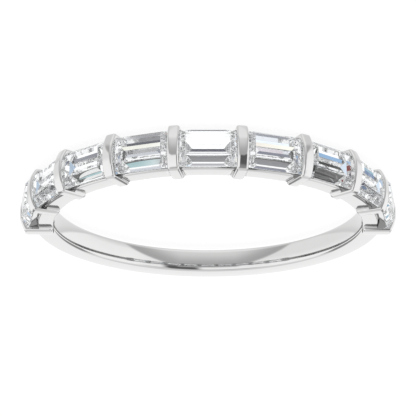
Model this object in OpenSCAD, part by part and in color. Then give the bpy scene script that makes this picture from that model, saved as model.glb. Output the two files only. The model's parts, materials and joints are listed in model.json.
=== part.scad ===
// Finger ring with nine straight baguette stones held end to end by ten cross bars.
// The ring lies on its side: the finger axis is +Z, the middle stone faces -Y.
// The origin is the middle of the finger hole. All sizes are millimetres.

/* [Finger hole] */
// Diameter of the finger hole
finger_d = 17.35; // [16.5:0.05:18]

/* [Stones] */
// Length of a stone along the band
stone_len = 3.0; // [2.95:0.01:3.1]
// Length of the two end stones
end_stone_len = 3.2; // [3.15:0.01:3.3]
// Width of a stone across the band
stone_w = 1.94; // [1.8:0.01:2.05]
// Height of the girdle's upper edge above the finger hole
girdle_up = 1.19; // [1.15:0.01:1.25]
// Thickness of the girdle
girdle_t = 0.05; // [0.03:0.01:0.08]
// Height of the table above the girdle
crown_h = 0.42; // [0.3:0.01:0.48]
// Width of the crown's two steps, from the girdle in to the table
crown_in = 0.39; // [0.3:0.01:0.45]
// Depth of the pavilion from the girdle to the keel
pavilion_h = 0.88; // [0.75:0.01:0.95]
// Gap left all round a stone
seat_gap = 0.02; // [0.01:0.005:0.03]

/* [Bars] */
// Angle between two neighbouring bars
pitch = 19.2; // [19.1:0.05:19.3]
// Thickness of a bar between two stones
bar_t = 0.6; // [0.55:0.01:0.65]
// Length of a bar across the band
bar_len = 2.38; // [2.3:0.01:2.5]
// Height of a bar's top above the finger hole, at its middle
bar_up = 1.8; // [1.75:0.01:1.9]
// Radius of a bar's arched top
arch_r = 2.2; // [1.9:0.01:2.5]
// Rounding of a bar's long edges
bar_edge_r = 0.1; // [0.06:0.01:0.14]
// Rounding of a bar's four outer corners, seen from its side
bar_corner_r = 0.2; // [0.1:0.01:0.22]
// Radius of the hollow where a bar meets a rail
hollow_r = 0.11; // [0.06:0.01:0.12]

/* [End bars] */
// Thickness of an end bar
end_bar_t = 0.76; // [0.7:0.01:0.9]
// How far an end bar's front wall lies ahead of the middle of the finger hole
end_front = 0.66; // [0.62:0.01:0.7]
// How much higher the end bars and the end stones stand
end_up = 0.12; // [0:0.01:0.15]

/* [Side rails] */
// Width across both rails
rails_w = 1.93; // [1.85:0.01:2]
// Thickness of one rail
rail_t = 0.38; // [0.3:0.01:0.42]
// Height of a rail from the finger hole to its top
rail_up = 0.89; // [0.85:0.01:0.98]
// Rounding of a rail's upper outer edge
rail_top_r = 0.12; // [0.08:0.01:0.16]
// Rounding of a rail's edges at the finger hole
rail_foot_r = 0.06; // [0.03:0.01:0.1]
// How far the stones' bearings lean in, from the girdle down into the rails
bearing_lean = 0.3; // [0.2:0.01:0.3]

/* [Shank] */
// Width of the plain shank
shank_w = 1.42; // [1.3:0.01:1.7]
// Thickness of the shank at the back
back_t = 1.49; // [1.3:0.01:1.7]
// Thickness of the shank where it meets the end bars
shoulder_t = 1.19; // [1.1:0.01:1.25]
// Rounding of the shank's edges at the finger hole
inner_r = 0.17; // [0.1:0.01:0.25]
// Rounding of the shank's outer edges
outer_r = 0.12; // [0.08:0.01:0.25]

/* [Hidden] */
$fn = 96;

stones = 9;
inner_bars = stones - 1;
fine_r = 0.15;       // an edge rounded less than this gets few flats,
few_flats = 3;       // that is this many,
many_flats = 5;      // and a wider one this many
foot_gap = 0.02;     // a bar stops this far short of the finger hole's wall
sink = 0.05;         // how far joined shapes run into one another
bearing_t = 0.34;    // thickness of a bearing before its seat is cut
rails_end = 88.5;    // the rails and the shank both end inside the end bars,
shank_start = 87.5;  // at these angles from the middle stone

finger_r = finger_d/2;
girdle_r = finger_r + girdle_up;

// The shank's outside is a circle moved back, so that it is thickest at the back.
back_r = finger_r + back_t;
shoulder_r = finger_r + shoulder_t;
shift = (back_r*back_r - shoulder_r*shoulder_r)/(2*back_r);
outer_circle_r = back_r - shift;

// The end stones lie midway between the last inner bar and the end bar.
last_bar = pitch*(inner_bars - 1)/2;
end_stone_angle = (last_bar + asin(bar_t/2/girdle_r) + 90 - asin(end_front/girdle_r))/2;

// Angle of a stone from the middle one; stone 1 is on the +X side.
function stone_angle(i) =
    i == 1 ? end_stone_angle : i == stones ? -end_stone_angle : ((stones + 1)/2 - i)*pitch;
function is_end(i) = i == 1 || i == stones;
function half_length(i) = (is_end(i) ? end_stone_len : stone_len)/2;

// Levels of a stone: [height above the girdle, how far in from the girdle's end, and side].
END = 1;
SIDE = 2;
function stone_levels(half_w) = [
    [crown_h, crown_in, crown_in],
    [crown_h*0.43, crown_in*0.38, crown_in*0.38],
    [0, 0, 0],
    [-girdle_t, 0, 0],
    [-girdle_t - pavilion_h*0.7, 0.37, half_w*0.58],
    [-girdle_t - pavilion_h, 0.74, half_w],
];

// Outline of a stone in one direction: down one side and up the other, moved out by the gap.
function stone_outline(half, way, gap) =
    let (levels = stone_levels(stone_w/2), side = [for (l = levels)
        [half - l[way] + gap, l[0] < 0 ? l[0] - gap : l[0] + gap]])
    concat(side, [for (i = [len(side) - 1:-1:0])
        if (side[i][0] > 0) [-side[i][0], side[i][1]]]);

// Points of an arc from angle a to angle b.
function arc(x, y, r, a, b) = let (n = r < fine_r ? few_flats : many_flats)
    [for (i = [0:n]) let (t = a + (b - a)*i/n) [x + r*cos(t), y + r*sin(t)]];

// A rectangle whose corners have radii ll, lr, ur and ul: lower left, then anticlockwise.
function round_rect(x0, y0, x1, y1, ll, lr, ur, ul) = concat(
    arc(x0 + ll, y0 + ll, ll, 180, 270),
    arc(x1 - lr, y0 + lr, lr, 270, 360),
    arc(x1 - ur, y1 - ur, ur, 0, 90),
    arc(x0 + ul, y1 - ul, ul, 90, 180));

// A bar's outline seen from its side. Its upper corners are rounded until they slope at
// 45 degrees, just where they reach the arch; above that the arch itself is the limit.
function bar_side(low, centre) =
    let (y = bar_len/2, r = bar_corner_r, in = r*cos(45),
         y_end = y - r + in, z_end = centre + sqrt(arch_r*arch_r - y_end*y_end))
    concat(arc(r - y, low + r, r, 180, 270), arc(y - r, low + r, r, 270, 360),
        arc(y - r, z_end - in, r, 0, 45), [[0, z_end + y_end]],
        arc(r - y, z_end - in, r, 135, 180));

// Everything on the head is drawn with x along the band, y across it and z away from the finger.
module on_head(angle) {
    rotate([0, 0, angle]) rotate([90, 0, 0]) children();
}

// Extrudes an outline drawn in y and z along x.
module along_band(length) {
    rotate([90, 0, 90]) linear_extrude(length, center = true) children();
}

// Extrudes an outline drawn in x and z along y.
module across_band(width) {
    rotate([90, 0, 0]) linear_extrude(width, center = true) children();
}

// A straight step cut: its two outlines crossed, which mitres the steps at the corners.
module step_cut(i, gap = 0) {
    half_len = half_length(i);
    on_head(stone_angle(i)) translate([0, 0, girdle_r + (is_end(i) ? end_up : 0)])
        intersection() {
            along_band(half_len*4) polygon(stone_outline(stone_w/2, SIDE, gap));
            across_band(stone_w*2) polygon(stone_outline(half_len, END, gap));
        }
}

// One bar: an arched top on a post at each side, all its edges rounded.
module bar(thick, up) {
    x = thick/2;
    y = bar_len/2;
    low = finger_r + foot_gap;
    top = finger_r + bar_up + up;
    centre = top - arch_r;
    e = bar_edge_r;
    intersection() {
        translate([0, 0, centre]) rotate([0, 90, 0]) rotate_extrude() polygon(concat(
            [[0, -x]], arc(arch_r - e, e - x, e, 270, 360), arc(arch_r - e, x - e, e, 0, 90),
            [[0, x]]));
        along_band(thick*2) polygon(bar_side(low, centre));
        across_band(bar_len*2) polygon(round_rect(-x, low, x, top + 1, e/2, e/2, e/2, e/2));
        linear_extrude(top*2) polygon(round_rect(-x, -y, x, y, e, e, e, e));
    }
}

// The hollow corners between one side of a bar and the outside of both rails.
module hollows(x) {
    y = rails_w/2;
    r = hollow_r;
    from = finger_r + foot_gap + bar_corner_r/2;
    to = finger_r + rail_up - rail_top_r;
    for (side = [0, 1]) mirror([0, side, 0])
        translate([0, 0, from]) linear_extrude(to - from) polygon(concat(
            [[x - sink, y - sink], [x + r, y - sink]], arc(x + r, y + r, r, 270, 180),
            [[x - sink, y + r]]));
}

// An inner bar with its hollows on both sides.
module inner_bar(angle) {
    on_head(angle) {
        bar(bar_t, 0);
        for (way = [0, 1]) mirror([way, 0, 0]) hollows(bar_t/2);
    }
}

// An end bar closes the head and takes the shank; its walls stand square to the ring's width.
module end_bar() {
    on_head(90) {
        translate([end_bar_t/2 - end_front, 0, 0]) bar(end_bar_t, end_up);
        mirror([1, 0, 0]) hollows(end_front);
    }
}

// The two rails that carry the bars, one on each side of the head.
module rails() {
    edge = rails_w/2;
    for (side = [0, 1]) mirror([0, 0, side])
        rotate_extrude(angle = 2*rails_end, start = -90 - rails_end) polygon(round_rect(
            finger_r, edge - rail_t, finger_r + rail_up, edge,
            rail_foot_r, rail_foot_r, rail_top_r, rail_foot_r));
}

// The bearings under a stone's long sides: straight like the stone, on the bent rails.
module bearings(i) {
    reach = half_length(i) + 3*sink;
    face = rails_w/2;
    low = finger_r + rail_up/2;
    top = girdle_r - girdle_t + (is_end(i) ? end_up : 0);
    on_head(stone_angle(i)) for (side = [0, 1]) mirror([0, side, 0])
        rotate([90, 0, 90]) linear_extrude(2*reach, center = true) polygon([
            [face - bearing_t, low], [face - bearing_lean, low], [face, top],
            [face - bearing_t, top]]);
}

// The plain half of the ring: a disc with a moved centre, cut by the finger hole.
module shank() {
    w = shank_w/2;
    reach = finger_d;
    intersection() {
        translate([0, shift, 0]) rotate_extrude() polygon(
            concat([[0, -w]], arc(outer_circle_r - outer_r, outer_r - w, outer_r, 270, 360),
                arc(outer_circle_r - outer_r, w - outer_r, outer_r, 0, 90), [[0, w]]));
        rotate_extrude(angle = 360 - 2*shank_start, start = shank_start - 90) polygon(
            round_rect(finger_r, -w, finger_r + reach, w, inner_r, inner_r, inner_r, inner_r));
    }
}

// Shank, rails and bars are cast as one piece, with a seat cut for each stone.
module band() {
    color("gainsboro") difference() {
        union() {
            shank();
            rails();
            for (i = [1:inner_bars]) inner_bar(((inner_bars + 1)/2 - i)*pitch);
            end_bar();
            mirror([1, 0, 0]) end_bar();
            for (i = [1:stones]) bearings(i);
        }
        for (i = [1:stones]) step_cut(i, seat_gap);
    }
}

module stone(i) {
    color("aliceblue") step_cut(i);
}

band();
for (i = [1:stones])
    stone(i);
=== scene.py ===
"""Baguette band: a polished finger ring lying on its side, dressed for rendering.

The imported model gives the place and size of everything. The metal is modelled here again with
smooth roundings, soldered into one piece and cut for the stones; the stones keep their solids
and get a clear cut-stone material. Pieces are drawn in millimetres and shrunk to metres when
they are finished.
"""
import json
import math
from types import SimpleNamespace

import bmesh
import bpy
from bpy.props import FloatProperty, FloatVectorProperty, IntProperty, PointerProperty
from mathutils import Matrix, Vector

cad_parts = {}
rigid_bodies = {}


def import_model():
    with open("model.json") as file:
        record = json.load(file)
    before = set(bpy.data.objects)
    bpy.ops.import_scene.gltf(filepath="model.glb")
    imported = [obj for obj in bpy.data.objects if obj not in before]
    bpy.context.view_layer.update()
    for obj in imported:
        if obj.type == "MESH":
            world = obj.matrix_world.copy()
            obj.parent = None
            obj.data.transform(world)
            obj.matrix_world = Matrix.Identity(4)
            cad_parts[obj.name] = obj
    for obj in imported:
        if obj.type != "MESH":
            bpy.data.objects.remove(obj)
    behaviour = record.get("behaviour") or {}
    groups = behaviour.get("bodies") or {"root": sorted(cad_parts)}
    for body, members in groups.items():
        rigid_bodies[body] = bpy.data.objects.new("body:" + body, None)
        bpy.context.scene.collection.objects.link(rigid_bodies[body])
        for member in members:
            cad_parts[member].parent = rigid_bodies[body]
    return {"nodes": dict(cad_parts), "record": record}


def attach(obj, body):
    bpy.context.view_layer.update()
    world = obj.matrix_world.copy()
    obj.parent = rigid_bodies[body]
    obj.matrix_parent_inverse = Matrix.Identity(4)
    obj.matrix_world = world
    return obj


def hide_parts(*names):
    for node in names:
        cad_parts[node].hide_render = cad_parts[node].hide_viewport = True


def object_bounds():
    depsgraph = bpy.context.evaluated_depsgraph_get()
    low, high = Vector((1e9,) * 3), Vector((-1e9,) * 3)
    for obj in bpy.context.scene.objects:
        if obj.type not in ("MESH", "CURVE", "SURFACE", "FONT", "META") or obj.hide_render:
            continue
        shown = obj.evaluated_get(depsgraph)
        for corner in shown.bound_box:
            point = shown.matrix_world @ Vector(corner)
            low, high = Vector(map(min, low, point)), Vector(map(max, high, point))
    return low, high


bl_info = {
    "name": "Baguette Band",
    "version": (1, 0, 0),
    "blender": (4, 5, 0),
    "location": "View3D > Sidebar > Ring",
    "description": "Builds the metal, the stones and the studio of a baguette band",
    "category": "Object",
}

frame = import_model()
CAD_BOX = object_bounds()
MM = 1000  # millimetres in a metre
HOLE_RADIUS = frame["record"]["mounts"][0]["dims"]["r_mm"] / MM
STONE_NAMES = sorted(name for name in frame["nodes"] if name.startswith("stone_"))

# Millimetres.
SAME_POINT = 0.0005  # points of an outline that are this near are one
SLACK = 0.001  # how far off its plane a point may be and still count as on it
BAR_OVERLAP = 0.15  # how far a bearing runs on into the bars at its ends
SOLDER_DEPTH = 0.05  # how far the metal that fills a corner sinks into its two walls

# Degrees.
SHANK_OVERLAP = 2.5  # how far the shank runs on past a half circle, into each end bar
RAIL_SHORTFALL = 1.5  # how far before a half circle's ends the rails stop, in the end bars
SMOOTH_UP_TO = 32  # sharper edges than this stay crisp

# Straight steps for each arc.
SHANK_STEPS = 160
RAIL_STEPS = 152
ARCH_STEPS = 28
CROWN_STEPS = 14
EDGE_STEPS = 6
INNER_EDGE_STEPS = 7
RAIL_TOP_STEPS = 7
RAIL_FOOT_STEPS = 5
RAIL_INSIDE_STEPS = 4
HOLLOW_STEPS = 8

ROUND_PROFILE = 0.5  # a bevel's profile for a round edge
HOLLOW_PROFILE = 0.086  # a bevel's profile for a round that curves inwards
FLAT_FACE_WEIGHT = 60  # how strongly large faces hold the shading of small ones


def length(name, description, default):
    """A size that the sidebar shows as a length; it is kept in metres."""
    return FloatProperty(name=name, description=description, default=default, min=0,
                         precision=5, unit="LENGTH", subtype="DISTANCE")


def share(name, description, default):
    """A number from 0 to 1."""
    return FloatProperty(name=name, description=description, default=default,
                         subtype="FACTOR", min=0, max=1)


class BandSizes(bpy.types.PropertyGroup):
    """Sizes of the metal."""

    hole_radius: length("Finger hole radius", "Radius of the finger hole", HOLE_RADIUS)
    shank_width: length("Shank width", "Width of the plain shank", 0.00142)
    shank_back: length("Shank at the back", "Thickness of the shank at the back", 0.00149)
    shank_shoulder: length("Shank at the shoulder", "Thickness beside the end bars", 0.00119)
    comfort_radius: length("Comfort radius", "Radius of the inside's soft crown", 0.0026)
    shank_inner_edge: length("Inner edge", "Rounding of the shank's inner edges", 0.00017)
    shank_outer_edge: length("Outer edge", "Rounding of the shank's outer edges", 0.00012)
    rails_width: length("Width across the rails", "From one rail's outside to the other's",
                        0.00193)
    rail_thickness: length("Rail thickness", "Thickness of one side rail", 0.00038)
    rail_height: length("Rail height", "From the finger hole to the rail's top", 0.00089)
    rail_top_edge: length("Rail's top edge", "Rounding of the rail's upper outer edge", 0.00012)
    rail_foot_edge: length("Rail's foot edge", "Rounding of the rail's other edges", 0.00006)
    bearing_lean: length("Bearing lean", "How far in the bearings' feet are", 0.0003)
    bearing_thickness: length("Bearing thickness", "Before the seats are cut", 0.00034)
    bar_thickness: length("Bar thickness", "Thickness of a bar between two stones", 0.0006)
    bar_length: length("Bar length", "Length of a bar across the band", 0.00238)
    bar_height: length("Bar height", "From the finger hole to the top of a bar's arch", 0.0018)
    bar_arch: length("Bar arch", "Radius of a bar's arched top", 0.0022)
    bar_corner: length("Bar corner", "Rounding of a bar's corners seen from its side", 0.0002)
    bar_edge: length("Bar edge", "Rounding of a bar's long edges", 0.00014)
    hollow: length("Hollow", "Radius of the hollow between a bar and a rail", 0.00011)
    foot_gap: length("Foot gap", "How far a bar's foot stays from the finger hole", 0.00002)
    end_bar_thickness: length("End bar thickness", "Thickness of an end bar", 0.00076)
    end_bar_front: length("End bar front", "How far its wall lies ahead of the centre", 0.00066)
    end_bar_rise: length("End bar rise", "How much higher the end bars stand", 0.00012)
    bar_pitch: FloatProperty(name="Bar pitch", description="Angle between two bars",
                             default=math.radians(19.2), subtype="ANGLE")
    bar_count: IntProperty(name="Inner bars", description="Bars between stones",
                           default=8, min=2, max=12)


class StoneSizes(bpy.types.PropertyGroup):
    """Sizes of the seats that are cut for the stones."""

    seat_gap: length("Seat gap", "Gap left all round a stone", 0.00002)


class FinishSettings(bpy.types.PropertyGroup):
    """Colours and polish."""

    metal_colour: FloatVectorProperty(
        name="White metal", description="Colour of the polished metal", subtype="COLOR",
        size=4, min=0, max=1, default=(0.78, 0.78, 0.777, 1))
    metal_roughness: share("Polish", "Roughness of the polished metal", 0.07)
    stone_colour: FloatVectorProperty(
        name="Stone", description="Body colour of the stones", subtype="COLOR",
        size=4, min=0, max=1, default=(0.985, 0.992, 1.0, 1))
    stone_index: FloatProperty(
        name="Refractive index", description="Refractive index of the stones",
        default=2.42, min=1, max=3)
    stone_gloss: share("Stone gloss", "How much of a real stone's shine its outside has", 0.3)


class StudioSettings(bpy.types.PropertyGroup):
    """Camera, floor and light."""

    camera_distance: length("Camera distance", "From the finger hole's middle", 0.067383)
    camera_elevation: FloatProperty(
        name="Camera elevation", description="Height of the camera above the ring's plane",
        default=math.radians(19.31), subtype="ANGLE")
    focal_length: FloatProperty(
        name="Focal length", description="Focal length on a 36 mm sensor",
        default=102.73, unit="CAMERA")
    image_shift: FloatProperty(
        name="Image shift", description="How far the ring sits above the image's middle",
        default=0.0164)
    floor_radius: length("Floor radius", "Radius of the pale floor", 0.4)
    floor_shade: share("Floor shade", "Share of the light that the floor gives back", 0.12)
    floor_glow: share("Floor glow", "Light that the floor gives off by itself", 0.93)
    room_light: FloatProperty(
        name="Room light", description="Strength of the plain light on everything",
        default=1.1, min=0)
    stone_light: FloatProperty(
        name="Stone light", description="Strength of the light that the stones gather",
        default=1.15, min=0)


def in_mm(group):
    """The lengths of a settings group in millimetres."""
    names = [p.identifier for p in group.bl_rna.properties
             if p.type == "FLOAT" and p.unit == "LENGTH"]
    return SimpleNamespace(**{name: getattr(group, name) * MM for name in names})


# Modelling by hand.


def leave():
    """Goes back to object mode."""
    if bpy.context.mode != "OBJECT":
        bpy.ops.object.mode_set(mode="OBJECT")


def alone(piece):
    """Selects one piece alone, in object mode, and makes it the active one."""
    leave()
    bpy.ops.object.select_all(action="DESELECT")
    piece.select_set(True)
    bpy.context.view_layer.objects.active = piece


def add(name, primitive, **where):
    """Adds one primitive with everything else deselected."""
    leave()
    bpy.ops.object.select_all(action="DESELECT")
    primitive(**where)
    piece = bpy.context.object
    piece.name = piece.data.name = name
    return piece


def edit(piece):
    """Opens a piece in edit mode, alone."""
    alone(piece)
    bpy.ops.object.mode_set(mode="EDIT")


def settle(piece):
    """Puts a piece's place and turn into its mesh."""
    alone(piece)
    bpy.ops.object.transform_apply(location=True, rotation=True, scale=True)


def copy_of(piece, name):
    """A copy with its own mesh."""
    alone(piece)
    bpy.ops.object.duplicate()
    twin = bpy.context.object
    twin.name = twin.data.name = name
    return twin


def apply(piece, kind, **settings):
    """Adds a modifier to a piece and applies it."""
    alone(piece)
    modifier = piece.modifiers.new(kind.title(), kind)
    for key, value in settings.items():
        setattr(modifier, key, value)
    bpy.ops.object.modifier_apply(modifier=modifier.name)


def pick(piece, kind, passes):
    """Selects the vertices or edges of the open piece whose every corner passes the test."""
    bpy.ops.mesh.select_mode(type=kind)
    bpy.ops.mesh.select_all(action="DESELECT")
    open_mesh = bmesh.from_edit_mesh(piece.data)
    for item in {"VERT": open_mesh.verts, "EDGE": open_mesh.edges}[kind]:
        corners = [item.co] if kind == "VERT" else [v.co for v in item.verts]
        if all(passes(corner) for corner in corners):
            item.select_set(True)
    bmesh.update_edit_mesh(piece.data)


def merge_points(distance):
    """Merges the points of the open piece that are this near."""
    bpy.ops.mesh.select_all(action="SELECT")
    bpy.ops.mesh.remove_doubles(threshold=distance)


def turn_outwards():
    """Turns the faces of the open piece outwards."""
    bpy.ops.mesh.select_all(action="SELECT")
    bpy.ops.mesh.normals_make_consistent(inside=False)


def draw(name, plane, start, strokes):
    """Draws a closed outline from one point. A stroke is a line's end (u, v), or an arc's
    centre and turn (u, v, degrees, steps). The plane is XZ or YZ, and v is height."""
    def place(u, v):
        return Vector((u, 0, v)) if plane == "XZ" else Vector((0, u, v))
    piece = add(name, bpy.ops.mesh.primitive_plane_add, size=1, location=(0, 0, 0))
    bpy.ops.object.mode_set(mode="EDIT")
    bpy.ops.mesh.select_mode(type="VERT")
    bpy.ops.mesh.merge(type="CENTER")
    bpy.ops.transform.translate(value=place(*start))
    at = Vector(start)
    for stroke in strokes:
        if len(stroke) == 2:
            bpy.ops.mesh.extrude_region_move(
                TRANSFORM_OT_translate={"value": place(*(Vector(stroke) - at))})
            at = Vector(stroke)
        else:
            u, v, degrees, steps = stroke
            bpy.ops.mesh.spin(steps=steps, angle=math.radians(degrees), center=place(u, v),
                              axis=(0, 1, 0) if plane == "XZ" else (-1, 0, 0))
            arm = at - Vector((u, v))
            arm.rotate(Matrix.Rotation(math.radians(degrees), 2))
            at = Vector((u, v)) + arm
    merge_points(SAME_POINT)
    return piece


def sweep(piece, start_degrees, degrees, steps):
    """Spins the open outline about the finger's axis into a closed bent bar."""
    bpy.ops.mesh.select_all(action="SELECT")
    bpy.ops.transform.rotate(value=-math.radians(start_degrees), orient_axis="Z",
                             center_override=(0, 0, 0))
    bpy.ops.mesh.spin(steps=steps, angle=math.radians(degrees), center=(0, 0, 0),
                      axis=(0, 0, -1))
    merge_points(SAME_POINT)
    bpy.ops.mesh.select_all(action="SELECT")
    bpy.ops.mesh.fill_holes(sides=0)
    turn_outwards()


def round_edges(offset, segments, profile=ROUND_PROFILE):
    """Bevels the selected edges of the open piece."""
    bpy.ops.mesh.bevel(offset=offset, segments=segments, profile=profile, affect="EDGES")


def flip(piece):
    """Mirrors a piece across x = 0 and turns its faces outwards again."""
    piece.scale.x = -1
    settle(piece)
    edit(piece)
    turn_outwards()
    leave()


def on_head(piece, angle):
    """Turns a piece drawn with x along the band and z away from the finger to its place."""
    piece.rotation_euler = (math.radians(90), 0, angle)
    settle(piece)


def combine(piece, others, operation):
    """Adds other shapes to a piece or cuts them out of it, and removes them."""
    for other in others:
        apply(piece, "BOOLEAN", operation=operation, object=other, solver="MANIFOLD")
        bpy.data.objects.remove(other)


def solder(piece, others):
    """Makes a piece and others one solid."""
    combine(piece, others, "UNION")


def carve(piece, tools):
    """Cuts the shapes of tools out of a piece."""
    combine(piece, tools, "DIFFERENCE")


# Shapes of the metal.


def bar_outline(name, size, rise):
    """A bar seen from its side: posts with round corners and an arched top."""
    half = size.bar_length / 2
    corner = size.bar_corner
    low = size.hole_radius + size.foot_gap
    centre = size.hole_radius + size.bar_height + rise - size.bar_arch
    shoulder = centre + math.sqrt((size.bar_arch - corner)**2 - (half - corner)**2)
    lean = math.degrees(math.atan2(shoulder - centre, half - corner))
    return draw(name, "YZ", (corner - half, low), [
        (half - corner, low),
        (half - corner, low + corner, 90, EDGE_STEPS),
        (half, shoulder),
        (half - corner, shoulder, lean, EDGE_STEPS),
        (0, centre, 180 - 2 * lean, ARCH_STEPS),
        (corner - half, shoulder, lean, EDGE_STEPS),
        (-half, low + corner),
        (corner - half, low + corner, 90, EDGE_STEPS),
    ])


def solid_bar(name, size, thickness, rise):
    """A bar with all its edges rounded, standing on x = 0."""
    bar = bar_outline(name, size, rise)
    bpy.ops.mesh.edge_face_add()
    bpy.ops.transform.translate(value=(-thickness / 2, 0, 0))
    bpy.ops.mesh.extrude_region_move(TRANSFORM_OT_translate={"value": (thickness, 0, 0)})
    turn_outwards()
    for side in (1, -1):
        pick(bar, "EDGE", lambda p: side * p.x > thickness / 2 - SLACK)
        round_edges(size.bar_edge, EDGE_STEPS)
    leave()
    return bar


def hollow_corner(name, size, wall):
    """The metal that fills the corner between a bar's wall and a rail's outside."""
    face = size.rails_width / 2
    low = size.hole_radius + size.foot_gap + size.bar_corner / 2
    high = size.hole_radius + size.rail_height - size.rail_top_edge
    reach = size.hollow + SOLDER_DEPTH
    corner = add(name, bpy.ops.mesh.primitive_cube_add, size=1,
                 location=(wall - SOLDER_DEPTH + reach / 2, face - SOLDER_DEPTH + reach / 2,
                           (low + high) / 2),
                 scale=(reach, reach, high - low))
    settle(corner)
    edit(corner)
    pick(corner, "EDGE", lambda p: p.x > wall + size.hollow / 2 and p.y > face + size.hollow / 2)
    round_edges(size.hollow, HOLLOW_STEPS, HOLLOW_PROFILE)
    leave()
    return corner


def bearing(node, size):
    """The straight metal on both bent rails that bears a stone's long sides."""
    stone = frame["nodes"][node]
    points = [stone.matrix_world @ vertex.co * MM for vertex in stone.data.vertices]
    centre = sum(points, Vector()) / len(points)
    angle = math.atan2(centre.x, -centre.y)
    outward = Vector((math.sin(angle), -math.cos(angle), 0))
    along = Vector((math.cos(angle), math.sin(angle), 0))
    # A stone's levels, from the finger outwards: the keel, the pavilion's step, the girdle.
    _, _, girdle_foot, *_ = sorted({round(point.dot(outward), 2) for point in points})
    reach = max(point.dot(along) for point in points) + BAR_OVERLAP
    low = size.hole_radius + size.rail_height / 2
    side = (size.rails_width - size.bearing_thickness) / 2
    piece = add("bearing_" + node, bpy.ops.mesh.primitive_cube_add, size=1,
                location=(0, side, (low + girdle_foot) / 2),
                scale=(2 * reach, size.bearing_thickness, girdle_foot - low))
    settle(piece)
    edit(piece)
    pick(piece, "VERT", lambda p: p.y > side and p.z < low + SLACK)
    bpy.ops.transform.translate(value=(0, -size.bearing_lean, 0))
    leave()
    apply(piece, "MIRROR", use_axis=(False, True, False))
    on_head(piece, angle)
    return piece


def smooth_metal(piece):
    """Smooth shading that keeps flat faces flat."""
    alone(piece)
    bpy.ops.object.shade_smooth_by_angle(angle=math.radians(SMOOTH_UP_TO))
    apply(piece, "WEIGHTED_NORMAL", mode="FACE_AREA", weight=FLAT_FACE_WEIGHT, keep_sharp=True)


def seat_tool(node, gap):
    """A stone's solid, grown by the gap, that cuts its seat."""
    tool = copy_of(frame["nodes"][node], "seat_" + node)
    tool.parent = None
    for key in list(tool.keys()):
        del tool[key]
    tool.scale = (MM, MM, MM)
    settle(tool)
    edit(tool)
    merge_points(SLACK)
    bpy.ops.mesh.dissolve_limited(angle_limit=math.radians(1))
    bpy.ops.mesh.select_all(action="SELECT")
    bpy.ops.transform.shrink_fatten(value=gap, use_even_offset=True)
    leave()
    return tool


# Node trees. A value that goes into a node is a number, a colour or another node's output.


def feed(tree, node, inputs):
    """Sets or links the named inputs of a node."""
    for name, value in inputs.items():
        if isinstance(value, bpy.types.NodeSocket):
            tree.links.new(value, node.inputs[name])
        else:
            node.inputs[name].default_value = value


def add_node(tree, kind, inputs, **settings):
    """Adds a node, with its settings made before its inputs are fed."""
    node = tree.nodes.new(kind)
    for name, value in settings.items():
        setattr(node, name, value)
    feed(tree, node, inputs)
    return node


def math_node(tree, operation, *values):
    """One sum of one or two values."""
    node = add_node(tree, "ShaderNodeMath", dict(enumerate(values)), operation=operation)
    return node.outputs["Value"]


def change(tree, value, start, end, first=0, last=1, curve="LINEAR"):
    """Goes from the first number to the last while a value goes from start to end."""
    node = add_node(tree, "ShaderNodeMapRange", {
        "Value": value, "From Min": start, "From Max": end, "To Min": first, "To Max": last,
    }, interpolation_type=curve)
    return node.outputs["Result"]


def lay_over(tree, under, mask, colour):
    """Lays a colour over what is under it where the mask is 1."""
    node = add_node(tree, "ShaderNodeMix", {"Factor": mask, "A": under, "B": colour},
                    data_type="RGBA")
    return node.outputs["Result"]


# Finishes.

MARKS_SCALE = 900  # fine polishing marks, about a millimetre apart
MARKS_DETAIL = 3
MARKS_UNEVENNESS = 0.25  # how far the roughness strays to each side
MARKS_SHADE = 0.97  # how light the duller patches are


def new_material(name):
    """A new material, its node tree and its shader."""
    material = bpy.data.materials.new(name)
    material.use_nodes = True
    return material, material.node_tree, material.node_tree.nodes["Principled BSDF"]


def white_metal(finish):
    """Polished white metal with fine polishing marks."""
    material, tree, shader = new_material("polished_white_metal")
    place = add_node(tree, "ShaderNodeTexCoord", {})
    marks = add_node(tree, "ShaderNodeTexNoise", {
        "Vector": place.outputs["Object"], "Scale": MARKS_SCALE, "Detail": MARKS_DETAIL,
    }).outputs["Fac"]
    duller = [part * MARKS_SHADE for part in finish.metal_colour[:3]] + [1]
    feed(tree, shader, {
        "Metallic": 1,
        "Base Color": lay_over(tree, finish.metal_colour, marks, duller),
        "Roughness": change(tree, marks, 0, 1,
                            finish.metal_roughness * (1 - MARKS_UNEVENNESS),
                            finish.metal_roughness * (1 + MARKS_UNEVENNESS)),
    })
    return material


def cut_stone(finish):
    """Clear cut stone."""
    material, tree, shader = new_material("clear_cut_stone")
    feed(tree, shader, {
        "Base Color": finish.stone_colour,
        "Roughness": 0,
        "IOR": finish.stone_index,
        "Specular Tint": (finish.stone_gloss,) * 3 + (1,),
        "Transmission Weight": 1,
    })
    return material


def floor_paint(studio):
    """Plain pale paint that shows only a faint shadow."""
    material, tree, shader = new_material("pale_floor")
    feed(tree, shader, {
        "Base Color": (studio.floor_shade,) * 3 + (1,),
        "Roughness": 1,
        "Specular IOR Level": 0,
        "Emission Color": (1, 1, 1, 1),
        "Emission Strength": studio.floor_glow,
    })
    return material


# Operators, one for each step.


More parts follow.
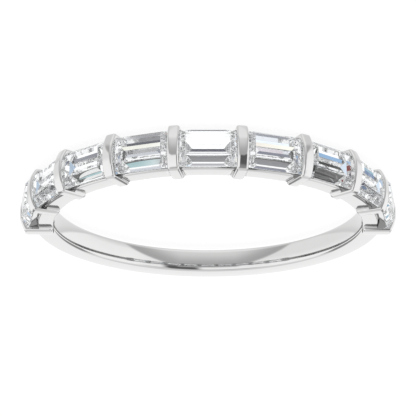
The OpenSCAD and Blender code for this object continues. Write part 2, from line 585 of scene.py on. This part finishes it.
class RING_OT_shank(bpy.types.Operator):
    """Draws the plain shank's section and spins it round the back of the ring"""

    bl_idname = "ring.shank"
    bl_label = "Shank"

    def execute(self, context):
        size = in_mm(context.scene.band_sizes)
        half = size.shank_width / 2
        inner, outer = size.shank_inner_edge, size.shank_outer_edge
        # The outside is a circle of its own, shifted back so that it passes both shoulders.
        back = size.hole_radius + size.shank_back
        shoulder = size.hole_radius + size.shank_shoulder
        shift = (back**2 - shoulder**2) / (2 * back)
        outside = back - shift
        # The inside is crowned; the lean is how far its arc turns from the middle to an edge.
        crown = size.hole_radius + size.comfort_radius
        arm = size.comfort_radius - inner
        lean = math.degrees(math.asin((half - inner) / arm))
        edge = crown - math.sqrt(arm**2 - (half - inner)**2)
        start = (crown - size.comfort_radius * math.cos(math.radians(lean)),
                 -size.comfort_radius * math.sin(math.radians(lean)))
        shank = draw("shank", "XZ", start, [
            (crown, 0, -2 * lean, CROWN_STEPS),
            (edge, half - inner, lean - 90, INNER_EDGE_STEPS),
            (outside - outer, half),
            (outside - outer, half - outer, -90, EDGE_STEPS),
            (outside, outer - half),
            (outside - outer, outer - half, -90, EDGE_STEPS),
            (edge, -half),
            (edge, inner - half, lean - 90, INNER_EDGE_STEPS),
        ])
        sweep(shank, -SHANK_OVERLAP, 180 + 2 * SHANK_OVERLAP, SHANK_STEPS)
        middle = (size.hole_radius + outside) / 2
        pick(shank, "VERT", lambda p: math.hypot(p.x, p.y) > middle)
        bpy.ops.transform.translate(value=(0, shift, 0))
        leave()
        return {"FINISHED"}


class RING_OT_rails(bpy.types.Operator):
    """Spins the two side rails that carry the bars"""

    bl_idname = "ring.rails"
    bl_label = "Side rails"

    def execute(self, context):
        size = in_mm(context.scene.band_sizes)
        low, high = size.hole_radius, size.hole_radius + size.rail_height
        near, far = size.rails_width / 2 - size.rail_thickness, size.rails_width / 2
        foot, top = size.rail_foot_edge, size.rail_top_edge
        rails = draw("rails", "XZ", (low + foot, near), [
            (high - foot, near),
            (high - foot, near + foot, 90, RAIL_INSIDE_STEPS),
            (high, far - top),
            (high - top, far - top, 90, RAIL_TOP_STEPS),
            (low + foot, far),
            (low + foot, far - foot, 90, RAIL_FOOT_STEPS),
            (low, near + foot),
            (low + foot, near + foot, 90, RAIL_INSIDE_STEPS),
        ])
        sweep(rails, RAIL_SHORTFALL - 180, 180 - 2 * RAIL_SHORTFALL, RAIL_STEPS)
        leave()
        apply(rails, "MIRROR", use_axis=(False, False, True))
        return {"FINISHED"}


class RING_OT_cross_bars(bpy.types.Operator):
    """Models one inner cross bar and copies it to every place between two stones"""

    bl_idname = "ring.cross_bars"
    bl_label = "Cross bars"

    def execute(self, context):
        settings = context.scene.band_sizes
        size = in_mm(settings)
        bar = solid_bar("cross_bar", size, size.bar_thickness, 0)
        corner = hollow_corner("hollow_corner", size, size.bar_thickness / 2)
        apply(corner, "MIRROR", use_axis=(True, True, False))
        solder(bar, [corner])
        for number in range(settings.bar_count):
            twin = copy_of(bar, f"cross_bar_{number + 1}")
            on_head(twin, ((settings.bar_count - 1) / 2 - number) * settings.bar_pitch)
        bpy.data.objects.remove(bar)
        return {"FINISHED"}


class RING_OT_end_bars(bpy.types.Operator):
    """Models the thicker bars that close the head and take the shank"""

    bl_idname = "ring.end_bars"
    bl_label = "End bars"

    def execute(self, context):
        size = in_mm(context.scene.band_sizes)
        bar = solid_bar("end_bar_1", size, size.end_bar_thickness, size.end_bar_rise)
        bar.location.x = size.end_bar_thickness / 2 - size.end_bar_front
        settle(bar)
        corner = hollow_corner("hollow_corner", size, size.end_bar_front)
        apply(corner, "MIRROR", use_axis=(False, True, False))
        flip(corner)
        solder(bar, [corner])
        twin = copy_of(bar, "end_bar_2")
        flip(twin)
        on_head(bar, math.radians(90))
        on_head(twin, math.radians(-90))
        return {"FINISHED"}


class RING_OT_solder(bpy.types.Operator):
    """Unites rails, bars and shank into one band and cuts a seat for each stone"""

    bl_idname = "ring.solder"
    bl_label = "Solder and cut seats"

    def execute(self, context):
        scene = context.scene
        size = in_mm(scene.band_sizes)
        gap = in_mm(scene.stone_sizes).seat_gap
        band = bpy.data.objects["rails"]
        bars = [o for o in scene.objects if o.name.startswith(("cross_bar_", "end_bar_"))]
        solder(band, bars + [bpy.data.objects["shank"]])
        solder(band, [bearing(node, size) for node in STONE_NAMES])
        carve(band, [seat_tool(node, gap) for node in STONE_NAMES])
        band.name = band.data.name = "polished_band"
        band.scale = (1 / MM,) * 3
        settle(band)
        smooth_metal(band)
        band.data.materials.clear()
        band.data.materials.append(white_metal(scene.finish_settings))
        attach(band, "root")
        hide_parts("band")
        return {"FINISHED"}


class RING_OT_stones(bpy.types.Operator):
    """Gives the stones their clear cut-stone finish"""

    bl_idname = "ring.stones"
    bl_label = "Stones"

    def execute(self, context):
        clear = cut_stone(context.scene.finish_settings)
        for name in STONE_NAMES:
            for material_slot in frame["nodes"][name].material_slots:
                material_slot.material = clear
        return {"FINISHED"}


class RING_OT_stage(bpy.types.Operator):
    """Sets the camera, the pale floor and the soft light"""

    bl_idname = "ring.stage"
    bl_label = "Stage"

    def execute(self, context):
        studio = context.scene.studio_settings
        add_camera(context, studio)
        add_floor(studio)
        add_light(context, studio)
        return {"FINISHED"}


# The studio.


def add_camera(context, studio):
    """The camera looks at the head from a little above the ring's plane, turned upside down
    as in the photograph, where the upper side of the lying ring faces down."""
    up, level = math.sin(studio.camera_elevation), math.cos(studio.camera_elevation)
    bpy.ops.object.camera_add()
    camera = context.object
    camera.name = "camera"
    camera.matrix_world = Matrix((
        (-1, 0, 0, 0),
        (0, -up, -level, -level * studio.camera_distance),
        (0, -level, up, up * studio.camera_distance),
        (0, 0, 0, 1)))
    camera.data.sensor_width = 36
    camera.data.lens = studio.focal_length
    camera.data.shift_y = studio.image_shift
    camera.data.clip_start, camera.data.clip_end = 0.001, 10
    context.scene.camera = camera


def add_floor(studio):
    """A pale floor under the lowest points of the ring. Only the camera sees it: the metal
    and the stones meet the studio's own light in its place."""
    floor = add("floor", bpy.ops.mesh.primitive_circle_add, vertices=96, fill_type="NGON",
                radius=studio.floor_radius, location=(0, 0, CAD_BOX[0].z))
    settle(floor)
    floor.data.materials.append(floor_paint(studio))
    floor.visible_glossy = False
    floor.visible_transmission = False


def tint(red, green, blue):
    """A colour by how light its parts look from 0 to 1, as a scene colour."""
    return (red**2.2, green**2.2, blue**2.2, 1)


def grey(shade):
    """A grey by how light it looks."""
    return tint(shade, shade, shade)


# The metal mirrors one room and the stones gather light from another. Turns are degrees from
# the camera's side towards the picture's right, heights degrees above the ring's plane. A wall
# is (left, right, blur, [(height, shade), ...]), and a room's first one goes all round. A card
# is (left, right, blur, low, high, blur, colour). Each is placed in the direction in which a
# facet or a face of the metal looks that shows this shade in the photograph.
MIRRORED_WALLS = [
    (-200, 200, 0, [(-90, 0.86), (-50, 0.81), (-38, 0.82), (-25, 0.87), (-14, 0.85), (-4, 0.95),
                    (5, 0.93), (15, 0.91), (27, 0.90), (36, 0.81), (50, 0.79), (90, 0.82)]),
    (-150, 150, 30, [(-90, 0.86), (-60, 0.80), (-45, 0.79), (-36, 0.82), (-27, 0.91),
                     (0, 0.935), (30, 0.94), (45, 0.87), (57, 0.81), (90, 0.78)]),
    (-50, 50, 24, [(-90, 0.87), (0, 0.90), (34, 0.94), (41, 0.68), (48, 0.64), (61, 0.74),
                   (90, 0.84)]),
]
MIRRORED_CARDS = [
    (-140, -36, 14, -40, -8, 14, grey(0.86)),
    (33, 56, 10, 20, 46, 10, grey(0.78)),
    (112, 162, 6, 14, 42, 5, grey(0.52)),
    (-162, -112, 6, 14, 42, 5, grey(0.52)),
    (7, 34, 8, 27, 50, 8, grey(0.52)),
    (7, 34, 8, 0, 30, 8, grey(0.34)),
]
# A table top is (behind the ring, nearest turn, drop to the sides, edge's height, shades).
TABLE_TOPS = [
    (False, -50, 0.82, 5, [(-90, 0.87), (-60, 0.85), (-42, 0.825), (-30, 0.79), (-12, 0.67),
                           (-2, 0.63), (5, 0.64), (90, 0.64)]),
    (True, 14, 0.7, 0, [(-90, 0.87), (-25, 0.86), (-12, 0.84), (-5, 0.80), (0, 0.78),
                        (90, 0.78)]),
]
TABLE_LEVEL = 22  # the far edge is level for this turn to each side, then drops away
TABLE_REACH = (200, 8)  # the turn that a table goes on to, and the blur of its near end
TABLE_HEIGHTS = (-42, 90, 10)  # heights between which a table shows, and their blur
TABLE_DEPTH = (-300, 5)  # far below any height, and the blur of a table's far edge

CLEAR_WALLS = [
    (-200, 200, 0, [(-90, 1.0), (-72, 0.98), (-50, 0.96), (0, 0.98), (60, 1.0), (90, 1.0)]),
]
CLEAR_CARDS = [
    (-200, 200, 1, 75, 95, 3, tint(0.40, 0.50, 0.58)),
    (-180, -90, 1, -75, -60, 4, tint(0.78, 0.88, 0.92)),
    (90, 180, 1, -75, -60, 4, tint(0.60, 0.60, 0.61)),
    (-92, -60, 4, 45, 60, 3, tint(0.92, 0.92, 0.88)),
    (60, 92, 4, 45, 60, 3, tint(1.0, 1.0, 0.95)),
    (-122, -92, 4, 45, 60, 3, tint(0.05, 0.06, 0.25)),
    (-122, -92, 4, 30, 45, 3, tint(0.10, 0.16, 0.27)),
    (-148, -120, 4, 15, 30, 3, tint(0.06, 0.06, 0.08)),
    (76, 94, 2, 9, 19, 2, tint(0.42, 0.0, 0.0)),
    (90, 120, 4, 15, 60, 4, tint(0.52, 0.66, 0.80)),
    (120, 148, 4, 15, 45, 4, tint(0.30, 0.42, 0.58)),
    (148, 170, 3, 30, 45, 3, tint(0.20, 0.20, 0.22)),
    (90, 150, 4, -15, 0, 3, tint(0.46, 0.62, 0.70)),
    (90, 120, 4, -30, -16, 4, tint(0.62, 0.70, 0.78)),
    (90, 120, 4, -60, -32, 4, tint(0.76, 0.68, 0.64)),
    (152, 178, 3, 1, 14, 3, tint(0.34, 0.35, 0.32)),
    (-148, -120, 4, -15, 0, 3, tint(0.55, 0.57, 0.60)),
    (-120, -92, 4, -30, -16, 3, tint(0.80, 0.86, 0.92)),
    (-60, -2, 4, 31, 44, 3, tint(0.56, 0.60, 0.66)),
    (30, 60, 4, 31, 44, 3, tint(0.55, 0.64, 0.74)),
    (-30, 30, 6, -60, -47, 3, tint(0.52, 0.50, 0.52)),
    (-173, -150, 3, -45, -36, 2, tint(0.61, 0.72, 0.73)),
    (-200, -173, 1, -45, -36, 2, tint(0.50, 0.50, 0.51)),
    (165, 200, 1, -45, -36, 2, tint(0.50, 0.50, 0.51)),
    (150, 165, 1, -45, -31, 2, tint(0.05, 0.05, 0.05)),
    (-148, -120, 4, -60, -46, 3, tint(0.04, 0.04, 0.05)),
    (-46, -29, 2, -10, 1, 2, tint(0.34, 0.35, 0.38)),
    (-45, -30, 2, -15, -9, 2, tint(0.50, 0.50, 0.52)),
    (-45, -32, 2, -30, -22, 2, tint(0.36, 0.36, 0.38)),
    (-45, -30, 4, -22, -15, 2, tint(0.76, 0.77, 0.79)),
    (-13, 13, 3, -22.6, -19.8, 0.5, tint(0.36, 0.36, 0.40)),
    (15, 30, 2, -23, -8, 2, tint(0.36, 0.36, 0.40)),
    (30, 46, 2, -23, -8, 2, tint(0.50, 0.51, 0.55)),
    (30, 45, 2, -31, -24, 2, tint(0.88, 0.90, 0.93)),
    (36, 75, 4, 60, 75, 4, tint(0.60, 0.36, 0.36)),
    (64, 90, 2, -15, -8, 2, tint(0.02, 0.02, 0.03)),
    (0, 30, 4, 28, 50, 4, tint(0.93, 0.955, 0.98)),
    (28, 46, 3, -8, 5, 3, tint(0.91, 0.945, 0.975)),
]

# Depths count the surfaces that a light path has met.
BOUNCES = 48
FIRST_REFLECTIONS = 2  # up to this depth reflections keep their full light
KEPT_EACH_TIME = 0.4  # share of the light that is left after each further one
DEEP_REFLECTIONS = (4, 9)  # depths from and to which the least light rises
DEEP_REFLECTIONS_LEAST = 0.75
DEEP_IN_STONES = (8, 13)  # depths from and to which the stones' cards give way to plain light
DEEP_IN_STONES_COLOUR = grey(0.90)
# The lamp stands at the ring's left back, where only repeated reflections see it.
LAMP_TURN = (-172, -132, 8)
LAMP_HEIGHT = (12, 50, 8)
LAMP_FROM_DEPTH = 3.5
LAMP_LIGHT = 0.9
LAMP_COLOUR = grey(0.97)


def window(tree, angle, low, high, blur):
    """1 where an angle lies between two limits in degrees, fading at both."""
    sides = [change(tree, angle, math.radians(limit - blur / 2), math.radians(limit + blur / 2),
                    first, 1 - first, "SMOOTHSTEP")
             for limit, first in ((low, 0), (high, 1))]
    return math_node(tree, "MULTIPLY", *sides)


def patch(tree, turn, height, across, up):
    """1 inside a patch of the room, given as (low, high, blur) of its turn and height."""
    return math_node(tree, "MULTIPLY", window(tree, turn, *across), window(tree, height, *up))


def ramp(tree, height, stops):
    """Greys by height in degrees, from the nadir to the zenith."""
    place = change(tree, height, math.radians(-90), math.radians(90))
    wall = add_node(tree, "ShaderNodeValToRGB", {"Fac": place})
    elements = wall.color_ramp.elements
    (_, first), *between, (_, last) = stops
    elements[0].color, elements[1].color = grey(first), grey(last)
    for degrees, shade in between:
        elements.new(degrees / 180 + 0.5).color = grey(shade)
    return wall.outputs["Color"]


def backdrop(tree, turn, height, walls, cards):
    """Walls all round, each shaded by height, with soft-edged cards before them."""
    view = None
    for left, right, blur, stops in walls:
        wall = ramp(tree, height, stops)
        view = wall if view is None else lay_over(
            tree, view, window(tree, turn, left, right, blur), wall)
    for *edges, colour in cards:
        view = lay_over(tree, view, patch(tree, turn, height, edges[:3], edges[3:]), colour)
    return view


def table_top(tree, turn, height, under, behind, inner, drop, edge, stops):
    """A grey table before or behind the ring: it is widest near the ring, so its far edge,
    level in the middle, drops away to both sides."""
    aside = math_node(tree, "ABSOLUTE", turn)
    if behind:
        aside = math_node(tree, "SUBTRACT", math.pi, aside)
    reached = window(tree, aside, inner, *TABLE_REACH)
    aside = math_node(tree, "SUBTRACT", aside, math.radians(TABLE_LEVEL))
    aside = math_node(tree, "MAXIMUM", aside, 0)
    lift = math_node(tree, "ADD", height, math_node(tree, "MULTIPLY", aside, drop))
    lowest, blur = TABLE_DEPTH
    mask = math_node(tree, "MULTIPLY", window(tree, lift, lowest, edge, blur),
                     window(tree, height, *TABLE_HEIGHTS))
    mask = math_node(tree, "MULTIPLY", mask, reached)
    return lay_over(tree, under, mask, ramp(tree, lift, stops))


def directions(tree):
    """The turn and the height in which a light path leaves, in radians."""
    place = add_node(tree, "ShaderNodeTexCoord", {})
    parts = add_node(tree, "ShaderNodeSeparateXYZ", {"Vector": place.outputs["Generated"]})
    turn = math_node(tree, "ARCTAN2",
                     math_node(tree, "MULTIPLY", parts.outputs["X"], -1),
                     math_node(tree, "MULTIPLY", parts.outputs["Y"], -1))
    return turn, math_node(tree, "ARCSINE", parts.outputs["Z"])


def mirrored_room(tree, turn, height, depth, metal_shade):
    """What the metal mirrors, and how strongly. Light that goes to and fro between pieces of
    metal grows darker than real light does, down to a floor that rises with the depth."""
    view = backdrop(tree, turn, height, MIRRORED_WALLS, MIRRORED_CARDS)
    for table in TABLE_TOPS:
        view = table_top(tree, turn, height, view, *table)
    again = math_node(tree, "SUBTRACT", depth, FIRST_REFLECTIONS)
    again = math_node(tree, "MAXIMUM", again, 0)
    strength = math_node(tree, "POWER", KEPT_EACH_TIME, again)
    strength = math_node(tree, "MAXIMUM", strength,
                         change(tree, depth, *DEEP_REFLECTIONS, 0, DEEP_REFLECTIONS_LEAST))
    lamp = math_node(tree, "MULTIPLY", patch(tree, turn, height, LAMP_TURN, LAMP_HEIGHT),
                     math_node(tree, "GREATER_THAN", depth, LAMP_FROM_DEPTH))
    view = lay_over(tree, view, lamp, LAMP_COLOUR)
    strength = math_node(tree, "MAXIMUM", strength,
                         math_node(tree, "MULTIPLY", lamp, LAMP_LIGHT))
    return view, math_node(tree, "DIVIDE", strength, metal_shade)


def clear_room(tree, turn, height, depth):
    """What the light that leaves the stones meets: cards, and plain light for the deepest
    paths, which keeps the stones' ends calm."""
    view = backdrop(tree, turn, height, CLEAR_WALLS, CLEAR_CARDS)
    return lay_over(tree, view, change(tree, depth, *DEEP_IN_STONES), DEEP_IN_STONES_COLOUR)


def background(tree, colour, strength):
    """Light of one colour or view."""
    node = add_node(tree, "ShaderNodeBackground", {"Color": colour, "Strength": strength})
    return node.outputs["Background"]


def add_light(context, studio):
    """Soft light from all round: plain for the floor, one room for the metal to mirror, and
    another for the stones to gather."""
    scene = context.scene
    scene.view_settings.view_transform = "Standard"
    scene.cycles.max_bounces = BOUNCES
    scene.cycles.transmission_bounces = BOUNCES
    scene.cycles.glossy_bounces = BOUNCES
    world = bpy.data.worlds.new("studio")
    scene.world = world
    world.use_nodes = True
    world.cycles.sampling_method = "NONE"
    tree = world.node_tree
    tree.nodes.clear()
    turn, height = directions(tree)
    path = add_node(tree, "ShaderNodeLightPath", {})
    depth = path.outputs["Ray Depth"]
    mirrored = mirrored_room(tree, turn, height, depth, scene.finish_settings.metal_colour[1])
    clear = clear_room(tree, turn, height, depth), studio.stone_light
    light = background(tree, (1, 1, 1, 1), studio.room_light)
    for ray, room in (("Is Glossy Ray", mirrored), ("Is Transmission Ray", clear)):
        light = add_node(tree, "ShaderNodeMixShader", {
            "Fac": path.outputs[ray], 1: light, 2: background(tree, *room),
        }).outputs["Shader"]
    add_node(tree, "ShaderNodeOutputWorld", {"Surface": light})


class RING_PT_builder(bpy.types.Panel):
    """Lists the steps that build the ring"""

    bl_label = "Baguette Band"
    bl_idname = "RING_PT_builder"
    bl_space_type = "VIEW_3D"
    bl_region_type = "UI"
    bl_category = "Ring"

    def draw(self, context):
        column = self.layout.column(align=True)
        for operator in STEPS:
            column.operator(operator.bl_idname)


STEPS = (RING_OT_shank, RING_OT_rails, RING_OT_cross_bars, RING_OT_end_bars, RING_OT_solder,
         RING_OT_stones, RING_OT_stage)
GROUPS = {"band_sizes": BandSizes, "stone_sizes": StoneSizes,
          "finish_settings": FinishSettings, "studio_settings": StudioSettings}
CLASSES = (*GROUPS.values(), *STEPS, RING_PT_builder)


def register():
    for cls in CLASSES:
        bpy.utils.register_class(cls)
    for name, group in GROUPS.items():
        setattr(bpy.types.Scene, name, PointerProperty(type=group))


def unregister():
    for name in GROUPS:
        delattr(bpy.types.Scene, name)
    for cls in reversed(CLASSES):
        bpy.utils.unregister_class(cls)


def main():
    """Builds the ring and its studio."""
    register()
    bpy.ops.ring.shank()
    bpy.ops.ring.rails()
    bpy.ops.ring.cross_bars()
    bpy.ops.ring.end_bars()
    bpy.ops.ring.solder()
    bpy.ops.ring.stones()
    bpy.ops.ring.stage()


if __name__ == "__main__":
    main()
